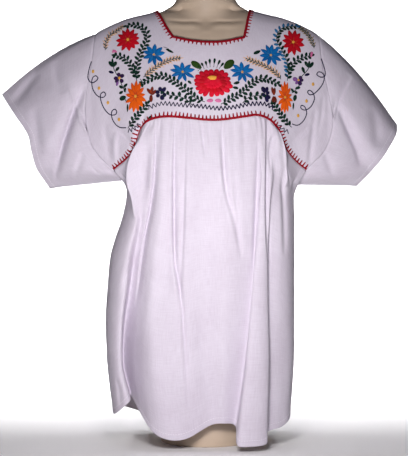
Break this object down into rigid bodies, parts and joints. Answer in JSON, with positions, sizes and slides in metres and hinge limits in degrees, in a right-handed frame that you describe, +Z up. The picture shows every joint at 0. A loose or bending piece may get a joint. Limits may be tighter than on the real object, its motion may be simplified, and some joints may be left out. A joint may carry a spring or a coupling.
{
  "type": "embroidered blouse on a dress form",
  "caption": "Short-sleeved cotton blouse with a square neck, an embroidered yoke and gathered panels, hanging on a limbless dress form with a round foot.",
  "frame": {"origin": "centre of the dress form's flat round foot, where the part stands", "axes": "+Z up, the front of the blouse faces -Y, +X to the right as seen from the front"},
  "size_m": [0.703, 0.2661, 0.824],
  "materials": {
    "cotton": "plain-weave white cotton muslin, soft, no shine",
    "embroidery_thread": "mercerised stranded cotton, close blanket stitch and satin stitch, soft shine",
    "form_shell": "smooth beige moulded shell, satin"
  },
  "bodies": {
    "root": {"yoke": "cotton", "front_panel": "cotton", "back_panel": "cotton", "sleeve_left": "cotton", "sleeve_right": "cotton", "neck_edging": "embroidery_thread", "front_seam_edging": "embroidery_thread", "back_seam_edging": "embroidery_thread", "dress_form": "form_shell", "form_plinth": "form_shell"}
  },
  "joints": []
}
